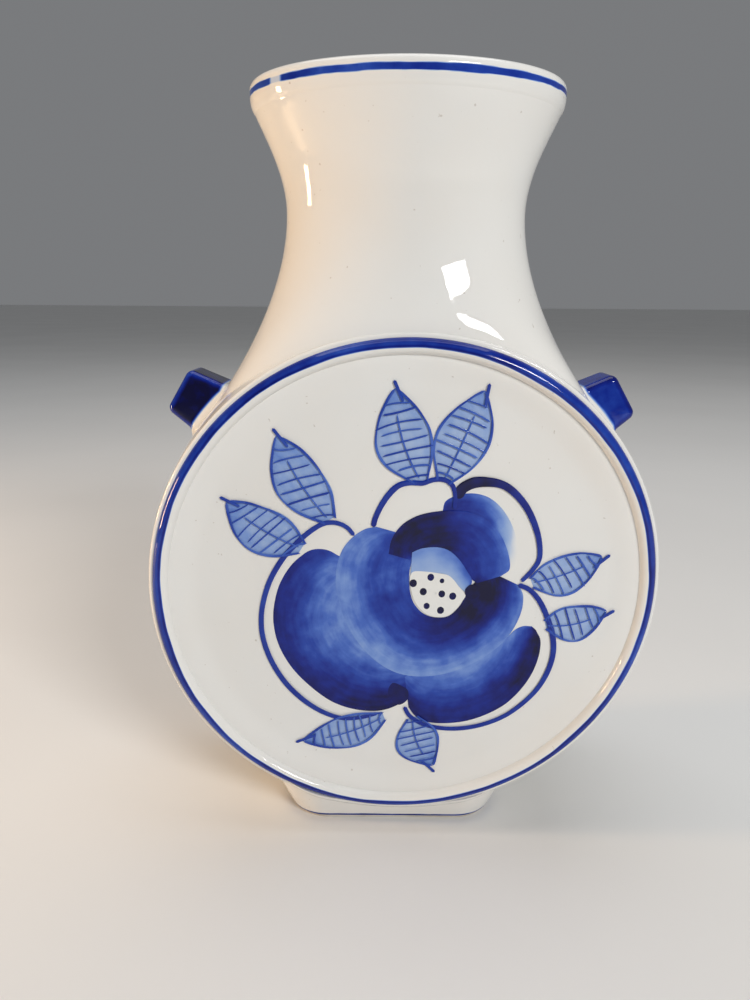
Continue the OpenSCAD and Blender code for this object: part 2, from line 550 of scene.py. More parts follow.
def settle(piece: bpy.types.Object, finish: bpy.types.Material, slot: Slot, *nodes: str) -> None:
    """Gives a piece its finish and its place in the frame.

    Args:
        piece: The cast piece.
        finish: Its material.
        slot: The record's material slot that it stands for; not used.
        nodes: The CAD nodes that it replaces.
    """
    piece.data.materials.clear()
    piece.data.materials.append(finish)
    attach(piece, "root")
    if nodes:
        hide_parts(*nodes)
    piece.data.calc_loop_triangles()
    LOG.info("%s: %d triangles", piece.name, len(piece.data.loop_triangles))


@dataclass
class Drum:
    """Round body: a bulging side wall between two dished faces, with a bead round each."""

    wall: float = 4.5
    edge_round: float = 1.2
    neck_reach: float = 51.0
    overlap: float = 1.2
    dish_dip: float = 1.0
    dish_slope: float = 10.0
    bead_sway: float = 0.12
    paint_end: float = 104.0
    paint_sway: float = 12.0
    paint_tone: float = 0.70
    paint_fade: float = 7.0
    pool: float = 0.20
    bead_steps: int = 900
    round_steps: int = 360
    radius: float = 0.0
    centre: float = 0.0
    ledge: float = 0.0
    band: float = 0.0
    crown: float = 0.0
    rim: float = 0.0
    bead_mid: float = 0.0
    bead_r: float = 0.0
    out_of_round: float = 0.8
    long_way: float = 60.0
    seam_inset: float = 0.4
    seam_power_y: float = 0.70
    seam_power_lean: float = 0.85

    def __post_init__(self) -> None:
        """Reads the drum's main sizes from the frame."""
        side, face, bead = Box.of("side_wall"), Box.of("front_face"), Box.of("front_bead")
        self.radius = side.half[0]
        self.centre = side.low[2] + self.radius
        self.band = -face.high[1]
        self.crown = -face.low[1]
        self.ledge = -bead.high[1]
        self.bead_r = bead.high[1] - bead.low[1]
        self.bead_mid = bead.half[0] - self.bead_r
        edge = face.half[0]
        drop = self.radius - edge
        self.rim = (self.band**2 + drop**2) / (2.0 * drop)

    def rim_r(self, y: Any) -> Any:
        """Radius of the drum at a depth: an arc that is widest halfway between the faces."""
        return self.radius - self.rim + np.sqrt(self.rim**2 - np.square(y))

    def drift(self, angle: Any, y: Any) -> Any:
        """How far the rim runs out of round: two waves round the axis, most at the faces."""
        waves = np.cos(2.0 * (angle - math.radians(self.long_way)))
        return self.out_of_round * waves * np.square(y / self.ledge)

    @property
    def turn_y(self) -> float:
        """Depth at which the rounded edges of the faces begin."""
        return self.ledge - self.edge_round

    @property
    def seam_y(self) -> float:
        """Depth that the neck's seam reaches, just behind the ledges."""
        return self.ledge - self.seam_inset

    def seam(self, around: Array) -> tuple[Array, Array]:
        """Angle from the top and depth of the seam, as a rounded oblong of the two."""
        x, y = np.cos(around), np.sin(around)
        lean = np.radians(self.neck_reach) * np.sign(x) * np.abs(x)**self.seam_power_lean
        return lean, self.seam_y * np.sign(y) * np.abs(y)**self.seam_power_y

    def face_y(self, r: Any) -> Any:
        """Height of a face above the middle plane at a distance from the drum's axis.

        A dome of (1 - s squared) squared fills the dish, and a half cosine climbs from it
        up to the ledge under the bead.
        """
        dish_r = self.bead_mid - self.bead_r
        floor_r, floor_y = dish_r - self.dish_slope, self.ledge - self.dish_dip
        s = np.clip(r / floor_r, 0.0, 1.0)
        climb = np.clip((r - floor_r) / self.dish_slope, 0.0, 1.0)
        dome = (self.crown - floor_y) * np.square(1.0 - s * s)
        return floor_y + dome + self.dish_dip * (1.0 - np.cos(np.pi * climb)) / 2.0

    def turned(self, profile: Array, steps: int) -> Array:
        """Carries a profile of radius and depth round the drum's axis, as a grid."""
        angle = np.linspace(0.0, TURN, steps, endpoint=False)
        r, y = profile[:, :1], profile[:, 1:]
        r = r + self.drift(angle, y) * (r / self.radius)**2
        return np.stack([r * np.sin(angle), y + 0.0 * angle, self.centre + r * np.cos(angle)],
                        -1)

    def build_wall(self) -> bpy.types.Object:
        """Side wall, open at the top where the neck stands on it.

        Each row is an arc at one depth. It starts and ends at the seam with the neck, whose
        angle from the top shrinks with depth. The inner face is the outer
        one less the wall, and strips close the edges of the opening.
        """
        y = np.linspace(-self.band, self.band, 48)[:, None]
        share = 1.0 - (np.abs(y) / self.seam_y)**(2.0 / self.seam_power_y)
        gap = np.radians(self.neck_reach * share**(self.seam_power_lean / 2.0) - self.overlap)
        angle = mix(gap, TURN - gap, np.linspace(0.0, 1.0, self.round_steps))

        def arc(inset: float) -> Array:
            """Surface at a distance inside the outer one."""
            r = self.rim_r(y) + self.drift(angle, y) - inset
            return np.stack([r * np.sin(angle), y + 0.0 * angle,
                             self.centre + r * np.cos(angle)], -1)

        outer, inner = arc(0.0), arc(self.wall)
        casting = Casting("side_wall").add(np.concatenate([outer, inner[::-1]]), loop=True)
        for edge in (0, -1):
            casting.add(np.stack([outer[:, edge], inner[:, edge]], 1))
        return casting.cast()

    def build_face(self, side: Side) -> bpy.types.Object:
        """Face plate: the dished front, the rounded edge, the rim and the flat back."""
        dish_r = self.bead_mid - self.bead_r
        swing = np.linspace(TURN / 4, 0.0, 9)
        turn_r = self.rim_r(self.turn_y) - self.edge_round
        rim_y = np.linspace(self.turn_y, self.band, 5)[1:]
        front_r = np.concatenate([np.linspace(0.0, dish_r, 100),
                                  np.linspace(dish_r, turn_r, 6)[1:-1]])
        front = np.stack([front_r, self.face_y(front_r)], -1)
        edge = np.stack([turn_r + self.edge_round * np.cos(swing),
                         self.turn_y + self.edge_round * np.sin(swing)], -1)
        rim = np.stack([self.rim_r(rim_y), rim_y], -1)
        back_r = np.linspace(rim[-1, 0], 0.0, 8)[1:]
        back = np.stack([back_r, np.full(len(back_r), self.band)], -1)
        profile = np.concatenate([front, edge, rim, back])
        profile[:, 1] *= side.sign
        name = "front_face" if side is Side.FRONT else "back_face"
        return Casting(name).add(self.turned(profile, 320), wrap=True).cast()

    def build_bead(self, side: Side) -> bpy.types.Object:
        """Half-round bead laid on the ledge of a face, painted over its outer flank.

        The section is a half circle whose foot spreads a little where the glaze pools. Its
        crest sinks and its middle wanders slightly on the way round. Cobalt covers it from
        the outer foot to just past the crest, and ends in an uneven line.
        """
        angle = np.linspace(0.0, TURN, self.bead_steps, endpoint=False)
        swing = np.radians(np.linspace(-9.0, 189.0, 56))[:, None]
        seed = 11 if side is Side.FRONT else 12
        foot = 1.0 + 0.10 * (1.0 - np.abs(np.sin(swing)))**4
        size = self.bead_r * (1.0 - self.bead_sway / 3 * (1.0 + sway(angle, seed, 1.0)))
        r = self.bead_mid + sway(angle, seed + 10, self.bead_sway) + size * foot * np.cos(swing)
        r = r + self.drift(angle, self.ledge)
        y = side.sign * (self.ledge + size * np.sin(swing))
        grid = np.stack([r * np.sin(angle), y, self.centre + r * np.cos(angle)], -1)
        end = self.paint_end + sway(angle, seed + 20, self.paint_sway)
        end = end + sway(angle * 7.0, seed + 21, self.paint_sway / 3)
        place = np.degrees(swing)
        thin = 0.10 * ease((place - 40.0) / 60.0) + 0.10 * sway(angle * 3.0, seed + 22, 1.0)
        pool = self.pool * np.exp(-np.square((end - 14.0 - place) / 11.0))
        paint = (self.paint_tone - thin + pool) * ease((end - place) / self.paint_fade)
        brush = np.stack([angle * self.bead_mid + 0.0 * place, place / 20.0 + 0.0 * angle], -1)
        name = "front_bead" if side is Side.FRONT else "back_bead"
        return Casting(name).add(grid, paint, brush, loop=True, wrap=True).cast(crease=80.0)


@dataclass
class Neck:
    """Oval neck that grows out of the drum's shoulders and flares up to the lip."""

    drum: Drum
    wall: float = 4.5
    side_pull: float = 18.0
    face_pull: float = 9.0
    root_sink: float = 1.5
    waist_pull: float = 24.0
    flare_start: float = 14.0
    flare_end: float = 3.5
    waist_w: float = 39.2
    waist_d: float = 28.6
    flare_h: float = 31.5
    lip_proud: float = 0.7
    lip_thick: float = 4.8
    lip_root: float = 4.4
    lip_blend: float = 6.4
    lip_sink: float = 0.3
    band_low: float = 1.9
    band_high: float = 3.9
    gap_at: float = 218.0
    gap_half: float = 3.2
    gap_tone: float = 0.12
    band_tone: float = 0.66
    lip_steps: int = 960
    columns: int = 288
    top: float = 0.0
    lip: Box | None = None

    def __post_init__(self) -> None:
        """Reads the joint with the lip from the frame."""
        self.lip = Box.of("lip")
        self.top = self.lip.low[2]

    @property
    def around(self) -> Array:
        """Angles of the columns, from the right side round by the back."""
        return np.linspace(0.0, TURN, self.columns, endpoint=False)

    def oval(self, half_w: Any, height: Any) -> Array:
        """Points of the neck's oval of a given half width, at a height."""
        u = self.around
        deep = half_w * self.waist_d / self.waist_w
        return np.stack([half_w * np.cos(u), deep * np.sin(u), height + 0.0 * u], -1)

    def outer(self) -> Array:
        """Outer surface, one Bezier curve from the seam to the waist and one above it.

        At the sides a curve leaves the drum along its surface and square to the seam; over
        the faces it rises out of the drum's edge. Every curve is upright at the waist.

        Returns:
            Rows from the seam to the lip by columns round the neck.
        """
        u, drum = self.around, self.drum
        lean, y = drum.seam(u)
        broad = np.sin(u)**2
        r = drum.rim_r(y) + drum.drift(lean, y) - self.root_sink * broad
        seam = np.stack([r * np.sin(lean), y, drum.centre + r * np.cos(lean)], -1)
        away = np.stack([np.sin(lean), 0.0 * u, np.cos(lean)], -1)
        run = np.roll(seam, -1, axis=0) - np.roll(seam, 1, axis=0)
        climb = np.cross(away, run)
        climb /= np.linalg.norm(climb, axis=1, keepdims=True)
        inward = np.array([0.0, 0.0, drum.centre + 1.5 * drum.radius]) - seam
        climb *= np.sign(np.sum(climb * inward, axis=1, keepdims=True))
        climb = mix(climb, np.array([0.0, 0.0, 1.0]), (broad**0.7)[:, None])
        climb /= np.linalg.norm(climb, axis=1, keepdims=True)
        pull = mix(self.side_pull, self.face_pull, broad[:, None])
        waist_z = self.top - self.flare_h
        waist = self.oval(self.waist_w, waist_z)
        below = waist - [0.0, 0.0, self.waist_pull]
        share = np.linspace(0.0, 1.0, 76)[:, None, None] ** 1.25
        shoulder = bezier((seam, seam + pull * climb, below, waist), share)
        half, height = self.flared(np.linspace(0.0, 1.0, 44)[1:, None])
        return np.concatenate([shoulder, self.oval(half, height)])

    def flared(self, share: Array) -> tuple[Array, Array]:
        """Half width and height of the outline from the waist up to the lip."""
        waist_z, half_top = self.top - self.flare_h, self.lip.half[0] - self.lip_proud
        half = bezier((self.waist_w, self.waist_w, half_top, half_top), share)
        height = bezier((waist_z, waist_z + self.flare_start, self.top - self.flare_end,
                         self.top), share)
        return half, height

    def build_neck(self) -> bpy.types.Object:
        """Neck shell: the outer surface, and the same less the wall along its normals."""
        outer = self.outer()
        spine = outer.mean(axis=1, keepdims=True) * [1.0, 1.0, 0.0]
        spine = spine + outer * [0.0, 0.0, 1.0]
        inner = outer - self.wall * outward(outer, spine)
        inner[-1, :, 2] = self.top
        grid = np.concatenate([outer, inner[::-1]])
        return Casting("neck").add(grid, loop=True, wrap=True).cast()

    def build_lip(self) -> bpy.types.Object:
        """Rounded lip, with a cobalt line painted round it below the rim.

        The section rises from the neck's surface, swells out to the lip's full width, turns
        over the rim as a half circle and ends on the neck's inner face. It is set off from
        the outer oval along the oval's own normals.
        """
        u = np.linspace(0.0, TURN, self.lip_steps, endpoint=False)
        half_w, half_d = self.lip.half[0], self.lip.half[1]
        high = self.lip.high[2]
        rim = self.lip_thick / 2.0
        rise = np.linspace(-self.lip_root, high - rim - self.top, 44)[:-1]
        half, height = self.flared(np.linspace(0.4, 1.0, 90))
        hidden = half_w + self.lip_sink - np.interp(self.top + rise, height, half)
        swell = hidden * (1.0 - ease((rise + self.lip_root) / self.lip_blend))
        outer = np.stack([swell, self.top + rise], -1)
        swing = np.linspace(0.0, TURN / 2, 30)
        crest = np.stack([rim - rim * np.cos(swing), high - rim + rim * np.sin(swing)], -1)
        inner = np.stack([np.full(8, self.lip_thick),
                          np.linspace(high - rim, self.top - 0.6, 9)[1:]], -1)
        profile = np.concatenate([outer, crest, inner])
        edge = np.stack([half_w * np.cos(u), half_d * np.sin(u)], -1)
        facing = np.stack([np.cos(u) / half_w, np.sin(u) / half_d], -1)
        facing /= np.linalg.norm(facing, axis=1, keepdims=True)
        flat = edge - profile[:, :1, None] * facing
        height = np.broadcast_to(profile[:, 1:], flat.shape[:2])
        grid = np.concatenate([flat, height[..., None]], -1)
        return Casting("lip").add(grid, self.line(profile, u), loop=True, wrap=True).cast()

    def line(self, profile: Array, u: Array) -> Array:
        """Density of the painted line: uneven edges, and a thin place where it was joined."""
        above = profile[:, 1:] - self.top
        low = self.band_low - sway(u, 41, 0.30) - sway(u * 9.0, 42, 0.12)
        high = self.band_high + sway(u, 43, 0.25) + sway(u * 7.0, 44, 0.12)
        inside = ease((above - low) / EDGE_SOFT) * ease((high - above) / EDGE_SOFT)
        on_outside = np.arange(len(profile))[:, None] < len(profile) // 2 + 6
        strength = self.band_tone + 0.10 * sway(u * 3.0, 45, 1.0)
        off = np.abs(np.degrees(u) - self.gap_at) / self.gap_half
        return inside * on_outside * strength * mix(self.gap_tone, 1.0, ease((off - 0.7) / 0.6))


@dataclass
class Lug:
    """Solid block luted to a shoulder, tapering outward and painted; its edges are painted lighter as a
    painted highlight when the edge gain is below zero, and darker as painted shade when it is above.
    """

    side: Side
    drum: Drum
    angle: float = 40.0
    lean: float = 9.0
    proud: float = 11.8
    sink: float = 8.0
    root_l: float = 11.0
    root_d: float = 9.5
    taper_l: float = 3.75
    taper_d: float = 1.9
    corner: float = 2.6
    tip_round: float = 2.2
    flare: float = 2.4
    flare_h: float = 3.4
    bare: float = 1.9
    tone: float = 0.70
    # Edge tone: below zero it paints the edges lighter as a painted highlight, above zero darker as
    # painted shade.
    edge_light_gain: float = 0.16
    body_rows: int = 40
    turn_rows: int = 9
    end_rows: int = 8
    start: float = -1.2

    def build(self) -> bpy.types.Object:
        """Block whose rows are rounded rectangles at rising heights along its own axis.

        The lowest rows follow the drum, spread as a fillet there, and carry no paint. The
        upper rows turn over a rounded edge and close on the middle of a flat end.
        """
        place, way = RoundedFrame(self.root_l, self.root_d, self.corner, 12, 16).path()
        ground = self.ground(place + way * self.corner)
        body = np.linspace(0.0, 1.0, self.body_rows)[:, None]
        height = mix(ground + self.start, self.proud - self.tip_round, body)
        clear = height - ground
        spread = self.flare * (1.0 - np.clip(clear / self.flare_h, 0.0, 1.0))**2
        reach = self.corner + spread
        swing = np.linspace(0.0, TURN / 4, self.turn_rows + 1)[1:, None]
        level = np.zeros((self.end_rows, 1))
        over = np.ones(len(place))
        height = np.concatenate([height, self.proud - self.tip_round
                                 + self.tip_round * np.sin(swing) * over,
                                 (self.proud + level) * over])
        reach = np.concatenate([reach, (self.corner - self.tip_round
                                        + self.tip_round * np.cos(swing)) * over,
                                (self.corner - self.tip_round + level) * over])
        shut = np.concatenate([np.ones(self.body_rows + self.turn_rows),
                               np.linspace(1.0, 0.0, self.end_rows + 1)[1:]])[:, None, None]
        inset = (height + self.sink)[..., None] / (self.proud + self.sink)
        centre = place * (1.0 - inset * [self.taper_l / self.root_l, self.taper_d / self.root_d])
        flat = (centre + way * reach[..., None]) * shut
        # Nearness to the edges, which carries the painted highlight (lighter edges) or painted shade
        # (darker edges) into the paint below.
        edge = self.edge_light_weight(way, np.concatenate([0.0 * body, swing / (TURN / 4), level]))
        cover = ease((height - ground - self.bare - 0.8 * way[:, 0]) / 1.3)
        paint = cover * np.clip(self.tone + self.edge_light_gain * edge, 0.0, 1.0)
        name = "lug_left" if self.side is Side.LEFT else "lug_right"
        casting = Casting(name).add(self.placed(flat, height), paint, wrap=True)
        return self.closed(casting, flat[0], height[0])

    def closed(self, casting: Casting, ring: Array, height: Array) -> bpy.types.Object:
        """Shuts the hidden root with a fan of rings and casts the block."""
        share = np.linspace(1.0, 0.0, 4)[:, None, None]
        casting.add(self.placed(ring * share, height + 0.0 * share[..., 0]), wrap=True)
        return casting.cast(crease=60.0)

    def edge_light_weight(self, way: Array, turn: Array) -> Array:
        """How near a point is to an edge, from 0 to 1: the weight of the edge tone, a painted highlight
        where it lightens and painted shade where it darkens.
        """
        upright = 2.0 * np.abs(way[:, 0] * way[:, 1])
        over = np.sin(np.pi * np.clip(turn, 0.0, 1.0))
        return np.clip(upright**2 + over, 0.0, 1.0)

    def ground(self, flat: Array) -> Array:
        """Height along the lug's axis at which a line parallel to it meets the drum.

        It is the larger root of the squared distance from the drum's axis.
        """
        tilt, radius = math.radians(self.lean), self.drum.radius
        p, y = flat[:, 0], flat[:, 1]
        off = radius**2 + p**2 + 2.0 * radius * math.sin(tilt) * p - self.drum.rim_r(y)**2
        lead = radius * math.cos(tilt)
        return np.sqrt(lead**2 - off) - lead

    def placed(self, flat: Array, height: Array) -> Array:
        """Turns heights and rectangles of the lug into places on the drum."""
        base, point = math.radians(self.angle), math.radians(self.angle - self.lean)
        x = (self.drum.radius * math.cos(base) + height * math.cos(point)
             - flat[..., 0] * math.sin(point))
        z = (self.drum.centre + self.drum.radius * math.sin(base)
             + height * math.sin(point) + flat[..., 0] * math.cos(point))
        return np.stack([self.side.sign * x, flat[..., 1], z], -1)


@dataclass
class Foot:
    """Low skirt with rounded corners, luted under the drum, and the bare ring below it."""

    drum: Drum
    wall: float = 4.5
    corner: float = 14.0
    ring_inset: float = 1.0
    ring_w: float = 3.0
    ring_soft: float = 0.45
    flare: float = 13.0
    rise: float = 28.2
    sink: float = 1.4
    fillet: float = 1.3
    fillet_h: float = 2.2
    edge_round: float = 0.7
    line_low: float = 0.2
    line_high: float = 1.6
    # Deeper than the other painted lines: part of this depth is painted shade under the foot's lower
    # edge.
    shaded_line_tone: float = 0.86
    skirt_rows: int = 60
    ring: Box | None = None

    def __post_init__(self) -> None:
        """Reads the ring that the foot stands on from the frame."""
        self.ring = Box.of("stand_ring")

    @property
    def outline(self) -> RoundedFrame:
        """Outline of the foot's lower edge."""
        half = self.ring.half + self.ring_inset
        return RoundedFrame(half[0], half[1], self.corner, 20, 30)

    def section(self, share: Array) -> tuple[Array, Array]:
        """Distance outward and height of the skirt, an even taper that spreads upwards."""
        base = self.ring.high[2]
        out = bezier((0.0, self.flare / 3, self.flare * 2 / 3, self.flare), share)
        up = bezier((base, base + self.rise / 3, base + self.rise * 2 / 3, base + self.rise),
                    share)
        return out, up

    def reach_up(self, place: Array, way: Array, inset: float) -> Array:
        """Share of the section at which each column has just entered the drum.

        The skirt is compared with the underside of the drum at 200 heights.
        """
        share = np.linspace(0.02, 1.0, 200)
        out, up = self.section(share)
        spot = place[:, None] + way[:, None] * (self.corner - inset + out)[None, :, None]
        y = np.clip(np.abs(spot[..., 1]), 0.0, self.drum.seam_y)
        x = spot[..., 0] + self.ring.middle[0]
        under = self.drum.centre - np.sqrt(self.drum.rim_r(y)**2 - x**2)
        inside = up[None] > under + self.sink
        first = np.where(inside.any(1), inside.argmax(1), len(share) - 1)
        return share[first]

    def build_skirt(self) -> bpy.types.Object:
        """Skirt shell, with a painted line along its lower edge.

        Each column climbs the section until it has entered the drum, spreads as a fillet
        where it meets the drum, comes back down a wall's thickness inside, and turns under
        the rounded lower edge.
        """
        place, way = self.outline.path()
        base = self.ring.high[2]
        rows = np.concatenate([np.linspace(0.0, 0.16, 26), np.linspace(0.16, 1.0, 34)[1:]])
        top = self.reach_up(place, way, 0.0)
        out, up = self.section(rows[:, None] * top)
        near = (up[-1] - self.sink - up) / self.fillet_h
        out = out + self.fillet * (1.0 - np.clip(near, 0.0, 1.0))**2
        swing = np.linspace(0.0, TURN / 4, 7)[:-1, None] + 0.0 * top
        under_out = -self.edge_round * (1.0 - np.sin(swing))
        under_up = base + self.edge_round * (1.0 - np.cos(swing))
        lift = np.maximum(up, base + self.edge_round)
        in_top = self.reach_up(place, way, self.wall)
        back = np.linspace(1.0, 0.0, 24)[:, None]
        in_out, in_up = self.section(back * in_top)
        reach = self.corner + np.concatenate([under_out, out, in_out - self.wall])
        height = np.concatenate([under_up, lift, in_up])
        flat = place + way * reach[..., None]
        flat = flat + [self.ring.middle[0], 0.0]
        grid = np.concatenate([flat, height[..., None]], -1)
        return Casting("foot").add(grid, self.line(grid, base), loop=True, wrap=True).cast()

    def line(self, grid: Array, base: float) -> Array:
        """Density of the line along the lower edge, uneven as a brush leaves it; its depth is partly
        painted shade under the edge.
        """
        turn = np.linspace(0.0, TURN, grid.shape[1], endpoint=False)
        above = grid[..., 2] - base
        high = self.line_high + sway(turn, 51, 0.25) + sway(turn * 9.0, 52, 0.12)
        low = self.line_low + sway(turn, 53, 0.10)
        inside = ease((above - low) / 0.3) * ease((high - above) / 0.3)
        outer = np.arange(grid.shape[0])[:, None] < self.skirt_rows
        return inside * outer * (self.shaded_line_tone + 0.08 * sway(turn * 5.0, 54, 1.0))

    def build_ring(self) -> bpy.types.Object:
        """Bare ring: a flat band with softened lower edges, carried round the foot."""
        place, way = self.outline.path()
        outer = self.corner - self.ring_inset
        low, high, soft = self.ring.low[2], self.ring.high[2], self.ring_soft
        swing = np.linspace(0.0, TURN / 4, 6)
        right = np.stack([outer - soft + soft * np.cos(swing),
                          low + soft - soft * np.sin(swing)], -1)
        left = right[::-1] * [-1.0, 1.0] + [2.0 * outer - self.ring_w, 0.0]
        sides = np.array([[outer - self.ring_w, high], [outer, high]])
        section = np.concatenate([right, left, sides])
        flat = place + way * section[:, :1, None] + [self.ring.middle[0], 0.0]
        height = np.broadcast_to(section[:, 1:], flat.shape[:2])
        grid = np.concatenate([flat, height[..., None]], -1)
        return Casting("stand_ring").add(grid, loop=True, wrap=True).cast()


# ---------------------------------------------------------------- the painting


@dataclass
class Brush:
    """Lays cobalt on the front face as thin patches and ribbons that follow its dish."""

    drum: Drum
    lift: float = 0.05
    edge_dip: float = 0.03

    def laid(self, flat: Array, level: float, dip: Any = 0.0) -> Array:
        """Lifts flat points to the face.

        Args:
            flat: Places right of and above the middle of the face.
            level: Number of layers of paint below this one.
            dip: How far the edges sink towards the face.

        Returns:
            Points in space.
        """
        r = np.linalg.norm(flat, axis=-1)
        y = -self.drum.face_y(r) - self.lift * level + dip
        return np.stack([flat[..., 0], y, flat[..., 1] + self.drum.centre], -1)

    def ribbon(self, casting: Casting, path: Array, width: Array, paint: Array,
               level: float) -> None:
        """One line of the brush, with a rounded start and end.

        Args:
            casting: Where the ribbon goes.
            path: Middle of the line.
            width: Full width at each point of the path.
            paint: Density at each point of the path.
            level: Layer.
        """
        run = np.concatenate([[0.0], np.cumsum(np.linalg.norm(np.diff(path, axis=0), axis=1))])
        left = np.minimum(run, run[-1] - run)
        blunt = np.maximum(width / 2.0, 1e-6)
        cap = np.sqrt(np.clip(1.0 - (1.0 - np.clip(left / blunt, 0.0, 1.0))**2, 0.0, 1.0))
        across = np.array([-1.0, -0.75, 0.0, 0.75, 1.0])
        half = (width * np.maximum(cap, 0.03) / 2.0)[:, None] * across
        flat = path[:, None] + sideways(path)[:, None] * half[..., None]
        dip = self.edge_dip * (np.abs(across) > 0.9)
        brush = np.stack([run[:, None] + 0.0 * half, half], -1)
        casting.add(self.laid(flat, level, dip), paint[:, None] + 0.0 * half, brush)

    def wash(self, casting: Casting, outer: Array, inner: Array,
             tone: Sequence[Sequence[float]], level: float, rows: int = 26) -> None:
        """One loaded stroke between two edges, graded across and along.

        Args:
            casting: Where the patch goes.
            outer: Outer edge.
            inner: Inner edge, with as many points.
            tone: Densities on a coarse grid, rows from the outer to the inner edge and
                columns along the stroke; they are blended smoothly.
            level: Layer.
            rows: Rows of points across the stroke.
        """
        share = np.linspace(0.0, 1.0, rows)[:, None, None]
        flat = mix(outer, inner, share)
        table = np.asarray(tone, float)
        along = np.linspace(0.0, 1.0, len(outer))
        across = share[:, 0, 0]
        steps_u = np.linspace(0.0, 1.0, table.shape[1])
        steps_v = np.linspace(0.0, 1.0, table.shape[0])
        wide = np.stack([self.graded(along, steps_u, line) for line in table])
        paint = np.stack([self.graded(across, steps_v, wide[:, k])
                          for k in range(len(along))], -1)
        rim = np.minimum(share[..., 0], 1.0 - share[..., 0]) * (rows - 1)
        length = np.linalg.norm(np.diff(outer, axis=0), axis=1).sum()
        gap = np.linalg.norm(outer - inner, axis=1)
        brush = np.stack([along * length + 0.0 * rim, across[:, None] * gap], -1)
        casting.add(self.laid(flat, level, self.edge_dip * (rim < 0.5)), paint, brush)

    @staticmethod
    def graded(place: Array, stops: Array, values: Array) -> Array:
        """Blend between neighbouring stops, level at each stop."""
        at = np.clip(np.searchsorted(stops, place, side="right") - 1, 0, len(stops) - 2)
        share = ease((place - stops[at]) / (stops[at + 1] - stops[at]))
        return mix(values[at], values[at + 1], 0.5 * share + 0.5 * (
            (place - stops[at]) / (stops[at + 1] - stops[at])))

    def blot(self, casting: Casting, edge: Array, paint: float, level: float,
             rings: int = 4) -> None:
        """Small filled patch: its outline drawn in towards the middle ring by ring."""
        middle = edge.mean(axis=0)
        share = np.linspace(0.0, 0.98, rings)[:, None, None]
        flat = mix(edge, middle, share)
        dip = self.edge_dip * (share[..., 0] == 0.0)
        casting.add(self.laid(flat, level, dip), paint, wrap=True)


@dataclass(frozen=True)
class Leaf:
    """One hatched leaf: where it points from and to, and how wide it is."""

    base: Point
    tip: Point
    width: float
    bend: float
    hatches: int
    tilt: float
    seed: int
    tone: float = 0.19


